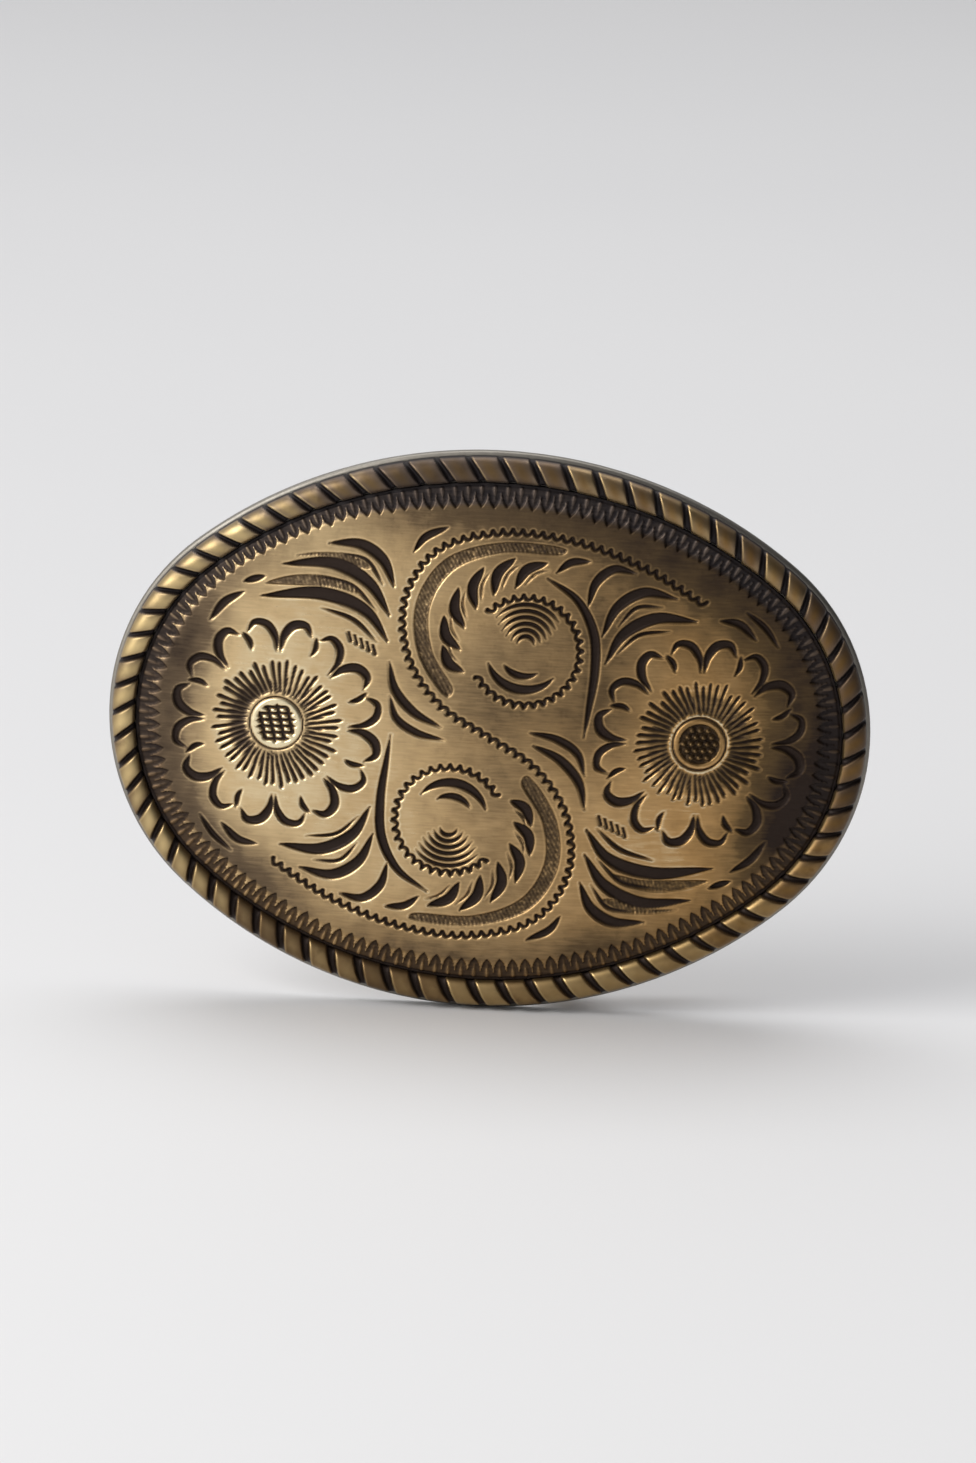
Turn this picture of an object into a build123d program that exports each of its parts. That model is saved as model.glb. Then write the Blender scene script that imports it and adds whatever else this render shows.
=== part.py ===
"""Western trophy belt buckle with a hinged wire bail and a fixed belt hook.

A domed oval brass base plate carries an engraved front plate and a rope edge, which are soldered to its front.
On its back are two lugs that hold the wire bail, and a pad that holds the belt hook. The belt's folded end goes
through the bail, and the belt's punched end passes behind the plate, between the lugs, and is held by the hook.

Frame: +X is the wearer's-left side as seen from the front, -Y is the front face, +Y is towards the wearer, +Z is up.
The origin is the middle of the base plate's back face, where the belt lies behind the plate.
"""
import math
import os

from build123d import *

# ---- Driving dimensions, mm ------------------------------------------------------------------
HALF_W = 44.5          # oval, half width (3.5 in overall)
HALF_H = 33.0          # oval, half height (2.6 in overall)
R_SIDE = 26.5          # the oval's two end arcs
DOME_RX = 185.0        # back face, curvature across the width
DOME_RZ = 320.0        # back face, curvature up the height
BASE_T = 1.6           # base plate
FACE_T = 1.3           # engraved front plate
ROPE_T = 2.1           # rope edge, height above the base plate
ROPE_OUT = 0.45        # rope edge's outer side, in from the oval
ROPE_IN = 3.15         # rope edge's inner side, in from the oval
FACE_GAP = 0.05        # solder gap between the front plate and the rope edge

HINGE_X = 10.0         # bail hinge axis
HINGE_Y = 6.6
WIRE_R = 1.5           # bail wire
PIVOT_CLEAR = 0.06     # running clearance of the bail's ends in the lugs, on the radius
BAIL_REACH = 16.0      # hinge axis to the bar that carries the belt's fold
BAIL_HALF = 22.0       # middle of the bail to the centre of each arm: 41 mm inside, for a 38 mm belt
BAIL_CORNER = 4.0      # bend radius at the bar
BAIL_HEEL = 2.2        # bend radius at the hinge ends
PIVOT_END = 28.1       # the bail's ends, from the middle
BAIL_REST = 15.0       # degrees from the plate's plane at rest, as worn

LUG_Z0, LUG_Z1 = 24.45, 27.75
LUG_R = 3.1            # knuckle round the hinge axis
LUG_FOOT = 4.6         # half length of the lug's foot

HOOK_X = -29.0
HOOK_R = 1.8           # hook post, through a 5 mm belt hole
HOOK_LEAN = 30.0       # degrees, outwards
HOOK_LEN = 9.6         # from the base plate's back to the middle of the ball end
COLLAR_R = 3.1         # the post's flared root
COLLAR_END = 3.8       # where the flare meets the post, along it
PAD_R = 5.0
PAD_T = 1.2


def oval_face(inset, y):
    """The oval outline of four tangent arcs, inset all round, as a face square to Y."""
    a, b, r = HALF_W, HALF_H, R_SIDE
    big = (a * a + b * b - 2 * a * r) / (2 * (b - r))
    # the join of the end arc and the long arc lies on the line through both centres
    cx, cz = a - r, b - big
    ux, uz = cx / math.hypot(cx, cz), -cz / math.hypot(cx, cz)
    r, big = r - inset, big - inset
    jx, jz = cx + r * ux, r * uz
    top, side = (0, cz + big), (cx + r, 0)
    p = Plane(origin=(0, y, 0), x_dir=(1, 0, 0), z_dir=(0, -1, 0))
    with BuildSketch(p) as s:
        with BuildLine():
            ThreePointArc((-jx, jz), top, (jx, jz))
            ThreePointArc((jx, jz), side, (jx, -jz))
            ThreePointArc((jx, -jz), (0, -top[1]), (-jx, -jz))
            ThreePointArc((-jx, -jz), (-side[0], 0), (-jx, jz))
        make_face()
    return s.sketch


def prism(inset):
    """A long bar of the oval, along Y, for cutting a domed sheet to outline."""
    return extrude(oval_face(inset, 40), 80)


def sheet(front, back, flat_back=None):
    """The domed layer between two offsets from the base plate's back face; positive is towards the front."""
    half = 42.0
    yz = Plane(origin=(0, 0, 0), x_dir=(0, 1, 0), z_dir=(1, 0, 0))

    def on(t, z):
        return (DOME_RZ - math.sqrt((DOME_RZ + t) ** 2 - z * z), z)

    with BuildSketch(yz) as s:
        with BuildLine():
            ThreePointArc(on(front, -half), on(front, 0), on(front, half))
            if flat_back is None:
                Line(on(front, half), on(back, half))
                ThreePointArc(on(back, half), on(back, 0), on(back, -half))
                Line(on(back, -half), on(front, -half))
            else:
                Line(on(front, half), (flat_back, half))
                Line((flat_back, half), (flat_back, -half))
                Line((flat_back, -half), on(front, -half))
        make_face()
    axis = Axis((0, DOME_RX, 0), (0, 0, 1))
    return revolve(s.sketch, axis, 36).rotate(axis, -18)


def back_y(x, z):
    """The base plate's back face."""
    sag_z = DOME_RZ - math.sqrt(DOME_RZ**2 - z * z)
    rr = DOME_RX - sag_z
    return DOME_RX - math.sqrt(rr * rr - x * x)


behind = sheet(0.0, None, flat_back=30.0)     # everything behind the base plate

# ---- Front ------------------------------------------------------------------------------------
base_plate = sheet(BASE_T, 0.0) & prism(0.0)
engraved_plate = sheet(BASE_T + FACE_T, BASE_T) & prism(ROPE_IN + FACE_GAP)
rope_edge = (sheet(BASE_T + ROPE_T, BASE_T) & prism(ROPE_OUT)) - prism(ROPE_IN)


def soft_edges(part, radius, chosen):
    """Rounds the chosen edges, and leaves the part as it is where the kernel can't."""
    try:
        made = fillet(chosen, radius)
        if made.is_valid and len(made.solids()) == len(part.solids()):
            return made
    except Exception as why:
        print("edge left sharp:", why)
    return part


front_side = [e for e in rope_edge.edges() if e.center().Y < back_y(e.center().X, e.center().Z) - BASE_T - 0.8]
rope_edge = soft_edges(rope_edge, 0.9, front_side)
base_plate = soft_edges(base_plate, 0.45, [e for e in base_plate.edges() if e.length > 4])

# ---- Bail and its lugs ------------------------------------------------------------------------
hinge = Axis((HINGE_X, HINGE_Y, 0), (0, 0, 1))


def lug(sign):
    z0, z1 = (LUG_Z0, LUG_Z1) if sign > 0 else (-LUG_Z1, -LUG_Z0)
    plane = Plane(origin=(HINGE_X, HINGE_Y, z0), x_dir=(1, 0, 0), z_dir=(0, 0, 1))
    with BuildSketch(plane) as s:
        Circle(LUG_R)
        with BuildLine():
            Polyline((-LUG_R, 0), (-LUG_R, -1.6), (-LUG_FOOT, -3.9), (-LUG_FOOT, -9), (LUG_FOOT, -9),
                     (LUG_FOOT, -3.9), (LUG_R, -1.6), (LUG_R, 0), close=True)
        make_face()
    block = extrude(s.sketch, z1 - z0)
    block = soft_edges(block, 0.5, [e for e in block.edges().filter_by(GeomType.CIRCLE)])
    bore = Pos(HINGE_X, HINGE_Y, (z0 + z1) / 2) * Cylinder(WIRE_R + PIVOT_CLEAR, 20)
    return (block - bore) & behind


upper_bail_lug = lug(1)
lower_bail_lug = lug(-1)

bail_plane = Plane(origin=(HINGE_X, HINGE_Y, 0), x_dir=(1, 0, 0), z_dir=(0, -1, 0))
with BuildPart() as bail:
    with BuildLine(bail_plane) as route:
        FilletPolyline(
            (0, -PIVOT_END), (0, -BAIL_HALF), (BAIL_REACH, -BAIL_HALF),
            (BAIL_REACH, BAIL_HALF), (0, BAIL_HALF), (0, PIVOT_END),
            radius=[BAIL_HEEL, BAIL_CORNER, BAIL_CORNER, BAIL_HEEL],
        )
    with BuildSketch(Plane(origin=(HINGE_X, HINGE_Y, -PIVOT_END), x_dir=(1, 0, 0), z_dir=(0, 0, 1))):
        Circle(WIRE_R)
    sweep()
ends = [e for e in bail.part.edges() if abs(abs(e.center().Z) - PIVOT_END) < 1e-3]
belt_bail = soft_edges(bail.part, 0.4, ends).rotate(hinge, BAIL_REST)

# ---- Hook -------------------------------------------------------------------------------------
slope = math.degrees(math.asin(HOOK_X / DOME_RX))
pad_y = back_y(HOOK_X, 0)
nx, ny = math.sin(math.radians(-slope)), math.cos(math.radians(slope))     # the back face's normal at the hook
foot = Vector(HOOK_X, pad_y, 0)
lean = math.radians(HOOK_LEAN)
along = Vector(-math.sin(lean), math.cos(lean), 0)
post_plane = Plane(origin=foot - along * 3, x_dir=(0, 0, 1), z_dir=along)
post = extrude(post_plane * Circle(HOOK_R), HOOK_LEN + 3)
ball_at = foot + along * HOOK_LEN
post = post + Pos(ball_at.X, ball_at.Y, ball_at.Z) * Sphere(HOOK_R)
root_plane = Plane(origin=foot + along * (COLLAR_END / 2 - 1.0), x_dir=(0, 0, 1), z_dir=along)
flare_h = COLLAR_END + 2.0
post = post + root_plane * Cone(COLLAR_R, HOOK_R, flare_h)
belt_hook = post & behind
pad_plane = Plane(origin=foot - Vector(nx, ny, 0) * 5, x_dir=(0, 0, 1), z_dir=(nx, ny, 0))
hook_pad = (extrude(pad_plane * Circle(PAD_R), 12) & sheet(0.0, -PAD_T)) - post

print("hook foot", foot, "axis", along, "ball centre", ball_at, "pad normal", nx, ny)
print("belt gap inside the bail", 2 * BAIL_HALF - 2 * WIRE_R)

# ---- Write ------------------------------------------------------------------------------------
os.makedirs("parts", exist_ok=True)
nodes = {
    "base_plate": base_plate,
    "engraved_plate": engraved_plate,
    "rope_edge": rope_edge,
    "upper_bail_lug": upper_bail_lug,
    "lower_bail_lug": lower_bail_lug,
    "belt_bail": belt_bail,
    "hook_pad": hook_pad,
    "belt_hook": belt_hook,
}
for name, part in nodes.items():
    export_step(part, f"parts/{name}.step")
    box = part.bounding_box()
    print(name, "valid", part.is_valid, "solids", len(part.solids()), "volume", round(part.volume, 1), box)
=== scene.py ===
"""Looks for the western belt buckle: the engraved front plate, the twisted rope edge and the metal finishes.

The frame holds the base plate, lugs, bail and hook. The front plate's engraving is drawn here as cuts in millimetres,
turned into a height map, and carved into a fine mesh that follows the plate's dome.
"""
import math

import bpy
import numpy as np
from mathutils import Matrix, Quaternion, Vector


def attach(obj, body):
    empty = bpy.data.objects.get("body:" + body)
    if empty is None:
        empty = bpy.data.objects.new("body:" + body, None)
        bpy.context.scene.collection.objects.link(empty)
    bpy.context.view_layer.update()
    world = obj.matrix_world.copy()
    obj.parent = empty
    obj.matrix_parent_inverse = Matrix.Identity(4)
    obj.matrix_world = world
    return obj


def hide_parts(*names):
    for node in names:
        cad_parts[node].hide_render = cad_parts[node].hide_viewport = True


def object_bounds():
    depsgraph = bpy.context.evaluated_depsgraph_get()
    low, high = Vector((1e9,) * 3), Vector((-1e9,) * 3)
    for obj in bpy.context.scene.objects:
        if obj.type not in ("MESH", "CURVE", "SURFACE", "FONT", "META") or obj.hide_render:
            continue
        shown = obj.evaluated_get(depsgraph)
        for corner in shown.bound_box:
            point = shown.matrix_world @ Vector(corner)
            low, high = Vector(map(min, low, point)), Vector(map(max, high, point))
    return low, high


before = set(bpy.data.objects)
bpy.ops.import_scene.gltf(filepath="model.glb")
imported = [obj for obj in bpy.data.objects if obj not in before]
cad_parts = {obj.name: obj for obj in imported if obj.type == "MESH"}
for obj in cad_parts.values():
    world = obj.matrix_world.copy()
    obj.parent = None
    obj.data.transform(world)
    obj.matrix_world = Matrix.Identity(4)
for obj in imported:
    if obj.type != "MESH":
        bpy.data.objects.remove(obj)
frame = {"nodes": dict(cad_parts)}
cad_box = [list(v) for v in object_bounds()]
scene = bpy.context.scene

# ------------------------------------------------------------------------------------------------
# Sizes shared with the CAD model, in millimetres
# ------------------------------------------------------------------------------------------------
HALF_W, HALF_H, R_SIDE = 44.5, 33.0, 26.5
DOME_RX, DOME_RZ = 185.0, 320.0
BASE_T, FACE_T, ROPE_T = 1.6, 1.3, 2.1
ROPE_OUT, ROPE_IN, FACE_GAP = 0.45, 3.15, 0.05
FACE_EDGE = ROPE_IN + FACE_GAP
FIELD = 6.9                    # the engraved field starts this far in from the oval
R_TOP = (HALF_W**2 + HALF_H**2 - 2 * HALF_W * R_SIDE) / (2 * (HALF_H - R_SIDE))
CX, CZ = HALF_W - R_SIDE, HALF_H - R_TOP          # centres of the right and top arcs
TURN = math.atan2(-CZ, CX)                        # angle of the join, from +X
STRANDS = 70
RNG = np.random.default_rng(7)


def oval(s, inset):
    """Points of the oval at share s of the way round, anticlockwise seen from the front, and their outward normals."""
    s = np.asarray(s, float) % 1.0
    r, big = R_SIDE - inset, R_TOP - inset
    side, long = 2 * TURN * r, (math.pi - 2 * TURN) * big
    d = (s * (2 * side + 2 * long) + side / 2) % (2 * side + 2 * long)
    a = np.zeros_like(d)
    x = np.zeros_like(d)
    z = np.zeros_like(d)
    spans = ((side, r, CX, 0.0, -TURN), (long, big, 0.0, CZ, TURN), (side, r, -CX, 0.0, math.pi - TURN), (long, big, 0.0, -CZ, math.pi + TURN))
    start = 0.0
    for length, radius, ox, oz, a0 in spans:
        inside = (d >= start) & (d < start + length + 1e-12)
        ang = a0 + (d - start) / radius
        a = np.where(inside, ang, a)
        x = np.where(inside, ox + radius * np.cos(ang), x)
        z = np.where(inside, oz + radius * np.sin(ang), z)
        start += length
    return x, z, np.cos(a), np.sin(a), 2 * side + 2 * long


def inset_of(x, z):
    """How far in from the oval a point lies."""
    ax, az = np.abs(x), np.abs(z)
    ang = np.arctan2(az, ax - CX)
    side = R_SIDE - np.hypot(ax - CX, az)
    top = R_TOP - np.hypot(ax, az - CZ)
    return np.where(ang < TURN, side, top)


def dome(x, z, t):
    """Y of the layer t in front of the base plate's back face."""
    y0 = DOME_RZ - np.sqrt((DOME_RZ + t) ** 2 - z * z)
    return DOME_RX - np.sqrt((DOME_RX - y0) ** 2 - x * x)


# ------------------------------------------------------------------------------------------------
# The engraving, as cuts on a height map
# ------------------------------------------------------------------------------------------------
PX = 0.055                                        # mm per cell
X0, Z0 = -42.0, -30.5
NX, NZ = int(84.0 / PX), int(61.0 / PX)
XS = X0 + np.arange(NX) * PX
ZS = Z0 + np.arange(NZ) * PX
CUT = np.full((NZ, NX), -1.0, np.float32)         # signed distance into the nearest line cut
SUNK = np.full((NZ, NX), -1.0, np.float32)        # signed distance into the nearest sunk ground
HATCH = np.full((NZ, NX), 0.5, np.float32)        # fine lines in the sunk ground
RISE = np.zeros((NZ, NX), np.float32)             # raised work, mm
CLEAR = np.zeros((NZ, NX), np.float32)            # places kept bright
SHADE = np.zeros((NZ, NX), np.float32)            # tarnish on the flats


def window(lo_x, hi_x, lo_z, hi_z, pad):
    i0, i1 = int((lo_x - pad - X0) / PX), int((hi_x + pad - X0) / PX) + 2
    j0, j1 = int((lo_z - pad - Z0) / PX), int((hi_z + pad - Z0) / PX) + 2
    i0, i1, j0, j1 = max(i0, 0), min(i1, NX), max(j0, 0), min(j1, NZ)
    return slice(j0, j1), slice(i0, i1)


def smooth_path(points, closed=False, step=0.09):
    """A centripetal curve through the points, with the share along it of each sample."""
    p = np.asarray(points, float)
    if closed:
        p = np.vstack([p[-1], p, p[0], p[1]])
    elif len(p) == 2:
        n = max(2, int(np.hypot(*(p[1] - p[0])) / step))
        t = np.linspace(0, 1, n)[:, None]
        return p[0] * (1 - t) + p[1] * t, t[:, 0]
    else:
        p = np.vstack([2 * p[0] - p[1], p, 2 * p[-1] - p[-2]])
    out = []
    for a, b, c, d in zip(p[:-3], p[1:-2], p[2:-1], p[3:]):
        t0, t1 = 0.0, math.sqrt(max(np.hypot(*(b - a)), 1e-6))
        t2 = t1 + math.sqrt(max(np.hypot(*(c - b)), 1e-6))
        t3 = t2 + math.sqrt(max(np.hypot(*(d - c)), 1e-6))
        n = max(2, int(np.hypot(*(c - b)) / step) + 1)
        t = np.linspace(t1, t2, n, endpoint=False)[:, None]
        a1 = (t1 - t) / (t1 - t0) * a + (t - t0) / (t1 - t0) * b
        a2 = (t2 - t) / (t2 - t1) * b + (t - t1) / (t2 - t1) * c
        a3 = (t3 - t) / (t3 - t2) * c + (t - t2) / (t3 - t2) * d
        b1 = (t2 - t) / (t2 - t0) * a1 + (t - t0) / (t2 - t0) * a2
        b2 = (t3 - t) / (t3 - t1) * a2 + (t - t1) / (t3 - t1) * a3
        out.append((t2 - t) / (t2 - t1) * b1 + (t - t1) / (t2 - t1) * b2)
    if not closed:
        out.append(p[-2][None])
    q = np.vstack(out)
    run = np.concatenate([[0], np.cumsum(np.hypot(*np.diff(q, axis=0).T))])
    return q, run / run[-1]


def stamp(target, q, radius):
    for (x, z), r in zip(q, radius):
        if r <= 0.02:
            continue
        js, is_ = window(x, x, z, z, r + 0.35)
        if js.start >= js.stop or is_.start >= is_.stop:
            continue
        d = np.hypot(XS[is_][None, :] - x, ZS[js][:, None] - z)
        target[js, is_] = np.maximum(target[js, is_], (r - d).astype(np.float32))


def cut(points, w, shape="m", soft=False):
    """A graver's cut along a curve: m is widest in the middle, s at its start, e at its end, t at its blunt end, c the
    same all along. A soft cut is a shallow channel in the tone of the sunk grounds."""
    q, t = smooth_path(points)
    if shape == "m":
        k = np.sin(np.pi * np.clip(t, 0.02, 0.98)) ** 0.75
    elif shape == "s":
        k = np.minimum(1, 0.45 + t * 7) * (1 - t) ** 0.65
    elif shape == "e":
        k = np.minimum(1, 0.45 + (1 - t) * 7) * t**0.65
    elif shape == "t":
        k = (0.36 + 0.74 * t**0.7) * np.minimum(1, 0.50 + (1 - t) * 7)
    else:
        k = np.minimum(1, np.minimum(0.35 + t * 8, 0.35 + (1 - t) * 8))
    stamp(SUNK if soft else CUT, q, 0.5 * w * np.maximum(k, 0.12))


def zigzag(points, amp=0.42, pitch=0.95, w=0.34, closed=False):
    """A scalloped line along a curve."""
    q, t = smooth_path(points, closed, 0.06)
    d = np.gradient(q, axis=0)
    n = np.stack([-d[:, 1], d[:, 0]], 1) / np.maximum(np.hypot(*d.T), 1e-9)[:, None]
    run = np.concatenate([[0], np.cumsum(np.hypot(*np.diff(q, axis=0).T))])
    turns = max(1, round(run[-1] / pitch))
    scallop = 2 * np.abs(np.sin(math.pi * turns * run / run[-1])) ** 0.8 - 1
    stamp(CUT, q + n * (scallop * amp * 0.55)[:, None], w * (0.36 + 0.10 * (1 - scallop)))


def ground(points, angle=60.0, pitch=0.42):
    """A sunk ground inside a closed outline, worked with fine lines at an angle."""
    q, _ = smooth_path(points, closed=True, step=0.35)
    js, is_ = window(q[:, 0].min(), q[:, 0].max(), q[:, 1].min(), q[:, 1].max(), 0.5)
    gx, gz = np.meshgrid(XS[is_], ZS[js])
    inside = np.zeros(gx.shape, bool)
    near = np.full(gx.shape, 9.0)
    for (x1, z1), (x2, z2) in zip(q, np.roll(q, -1, axis=0)):
        hit = ((z1 > gz) != (z2 > gz)) & (gx < (x2 - x1) * (gz - z1) / ((z2 - z1) + 1e-12) + x1)
        inside ^= hit
        ex, ez = x2 - x1, z2 - z1
        k = np.clip(((gx - x1) * ex + (gz - z1) * ez) / max(ex * ex + ez * ez, 1e-12), 0, 1)
        near = np.minimum(near, np.hypot(gx - x1 - k * ex, gz - z1 - k * ez))
    sd = np.where(inside, near, -near)
    SUNK[js, is_] = np.maximum(SUNK[js, is_], sd.astype(np.float32))
    a = math.radians(angle)
    wave = 0.5 + 0.5 * np.sin(2 * math.pi * (gx * math.cos(a) + gz * math.sin(a)) / pitch)
    HATCH[js, is_] = np.where(inside, wave, HATCH[js, is_])


def arc(cx, cz, r, a0, a1, w, shape="m", squash=1.0, tilt=0.0):
    t = np.radians(np.linspace(a0, a1, 9))
    c, s = math.cos(math.radians(tilt)), math.sin(math.radians(tilt))
    px, pz = r * np.cos(t), r * squash * np.sin(t)
    cut(np.stack([cx + px * c - pz * s, cz + px * s + pz * c], 1), w, shape)


def flower_heart(cx, cz, disc, outer, n, w, style):
    """A flower's raised disc in a ring of stamens."""
    sx, sz = cx, cz
    js, is_ = window(sx, sx, sz, sz, outer + 1.5)
    gx, gz = np.meshgrid(XS[is_], ZS[js])
    x, z = gx - sx, gz - sz
    r = np.hypot(x, z)
    around = np.arctan2(z, x)
    RISE[js, is_] += (0.22 * np.clip(1 - (r / (disc + 0.25)) ** 2, 0, 1) ** 0.5).astype(np.float32)
    ease = lambda v, lo, hi: np.clip((v - lo) / (hi - lo), 0, 1)
    fine = 0.25 if style == "cross" else 0.20
    if style == "cross":
        worked = ease(r, disc + 0.5, disc + 0.9) * (1 - ease(r, disc + 2.1, disc + 2.9)) * ease(np.cos(around - 2.95), 0.35, 0.8)
        ring_dark = 0.45 * worked + 0.26 * ease(r, disc, disc + 0.3) * (1 - ease(r, disc + 1.6, disc + 3.4))
        SHADE[js, is_] = np.where(r < disc, -0.62, SHADE[js, is_] + ring_dark).astype(np.float32)
    else:
        ring_dark = 0.34 * ease(r, disc, disc + 0.3) * (1 - ease(r, outer - 1.5, outer - 0.9))
        pale = 0.62 * np.exp(-(((r - disc - 0.32) / 0.26) ** 2))
        SHADE[js, is_] = np.where(r < disc, 0.05, SHADE[js, is_] + ring_dark - pale).astype(np.float32)
    for k in range(n):
        a = 2 * math.pi * (k + 0.16 * RNG.uniform(-1, 1)) / n
        r1 = outer * (1 + 0.045 * RNG.uniform(-1, 1) + 0.03 * (1 if k % 2 else -1))
        r0 = disc + 0.30 + 0.55 * RNG.uniform(0, 1)
        turn = lambda rr: a - 0.16 * math.exp(-(rr - disc) / 1.6)
        cut([(cx + rr * math.cos(turn(rr)), cz + rr * math.sin(turn(rr))) for rr in np.linspace(r0, r1, 5)], w, "t")
        b = a + math.pi / n
        r2 = disc + 2.5 + 0.5 * RNG.uniform(-1, 1)
        cut([(cx + rr * math.cos(b), cz + rr * math.sin(b)) for rr in np.linspace(disc + 0.35, r2, 4)], fine, "m")
    ring = np.linspace(0, 2 * math.pi, 200)
    stamp(CUT, np.stack([sx + disc * np.cos(ring), sz + disc * np.sin(ring)], 1), np.full(200, 0.115))
    if style == "cross":
        for a, offs, wide in ((104.0, (-1.65, -0.55, 0.55, 1.65), 0.47), (4.0, (-1.85, -1.10, -0.35, 0.40, 1.15, 1.90), 0.37)):
            c, sn = math.cos(math.radians(a)), math.sin(math.radians(a))
            for off in offs:
                half = 0.94 * math.sqrt(max(0.0, (disc * 0.78) ** 2 - off * off))
                if half > 0.4:
                    cut([(cx - off * sn - half * c, cz + off * c - half * sn), (cx - off * sn + half * c, cz + off * c + half * sn)], wide, "c")
    else:
        inner = disc * 0.76
        SUNK[js, is_] = np.maximum(SUNK[js, is_], np.where(r < inner, inner - r, -1).astype(np.float32))
        CUT[js, is_] = np.maximum(CUT[js, is_], np.where(r < inner, 0.02, -1).astype(np.float32))
        for j in range(-3, 4):
            for i in range(-3, 4):
                bx, bz = (i + 0.5 * (j % 2)) * 0.92, j * 0.80
                if math.hypot(bx, bz) < inner - 0.25:
                    far = np.hypot(x - bx, z - bz)
                    RISE[js, is_] += (0.34 * np.clip(1 - (far / 0.42) ** 2, 0, 1)).astype(np.float32)
                    CLEAR[js, is_] = np.maximum(CLEAR[js, is_], np.clip(1.3 * (1 - (far / 0.40) ** 2), 0, 1))


# --- the design: drawn once, and repeated turned by half a turn ----------------------------------
def twice(draw, points, *rest):
    draw(points, *rest)
    draw([(-x, -z) for x, z in points], *rest)


def polar(cx, cz, r, a):
    return cx + r * math.cos(math.radians(a)), cz + r * math.sin(math.radians(a))


def turned(k, cx, cz, a):
    return (cx, cz, a) if k == 0 else (-cx, -cz, a + 180)


# flowers of eight petals, each with a nick in its edge
FLOWER = (-24.6, 0.0)
for k, style in enumerate(("cross", "dots")):
    fx, fz, start = turned(k, *FLOWER, 22.5)
    flower_heart(fx, fz, 3.1, 7.2, 48, 0.36 - 0.06 * k, style)
    for i in range(8):
        a = start + 45 * i
        for side in (-1, 1):
            big = 1.0 if side > 0 else 0.8
            cut([polar(fx, fz, r, a + side * t) for r, t in ((8.5, 21), (10.2, 20), (11.7, 15), (12.1, 8), (11.1, 2.5))], 1.0 * big, "m")
        cut([polar(fx, fz, r, a + t) for r, t in ((11.3, 0), (10.0, -2.5), (9.0, -2))], 0.55, "m")

# the S that parts the two halves, with a hatched channel inside each bow
BOW = [(24.5, 16.4), (17.5, 20.4), (9.0, 23.3), (0.5, 23.9), (-6.8, 21.4), (-10.2, 15.6), (-9.5, 8.8), (-5.6, 3.4)]
zigzag(BOW + [(0.0, 0.0)] + [(-x, -z) for x, z in BOW[::-1]], 0.56, 1.15, 0.38)
mx0, mz0 = 1.4, 12.2
outer_side = [(mx0 + (x - mx0) * f, mz0 + (z - mz0) * f) for (x, z), f in zip(BOW[2:], (0.90, 0.90, 0.89, 0.89, 0.89, 0.88))]
inner_side = [(mx0 + (x - mx0) * f, mz0 + (z - mz0) * f) for (x, z), f in zip(BOW[2:], (0.86, 0.80, 0.76, 0.75, 0.75, 0.80))]
twice(ground, outer_side + inner_side[::-1], 30, 0.42)

# a rosette in each bow: a serrated ring, a fan of arcs, and fronds round it
for k in range(2):
    cx, cz, turn = turned(k, 4.0, 10.2, 0)
    zigzag([polar(cx, cz, 6.3, a + turn) for a in range(-150, 136, 15)], 0.5, 1.1, 0.38)
    for i in range(6):
        arc(*polar(cx, cz, 0.8, 90 + turn), 1.0 + 0.74 * i, 168 - 6 * i + turn, 8 + 6 * i + turn, 0.42, "m", 1.0)
    arc(cx, cz, 4.5, 200 + turn, 318 + turn, 1.0, "m")
    arc(cx, cz, 2.9, 215 + turn, 300 + turn, 0.7, "m")
    for a, far in ((88, 10.6), (108, 10.9), (128, 10.9), (148, 10.7), (168, 10.3), (188, 9.6)):
        cut([polar(cx, cz, 7.6, a + 13 + turn), polar(cx, cz, 0.52 * (7.6 + far), a + 4 + turn), polar(cx, cz, far, a - 9 + turn)], 1.15, "m")
        cut([polar(cx, cz, 7.8, a + 5 + turn), polar(cx, cz, 0.5 * (7.7 + far), a - 3 + turn), polar(cx, cz, far - 0.7, a - 12 + turn)], 0.34, "m", True)

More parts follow.
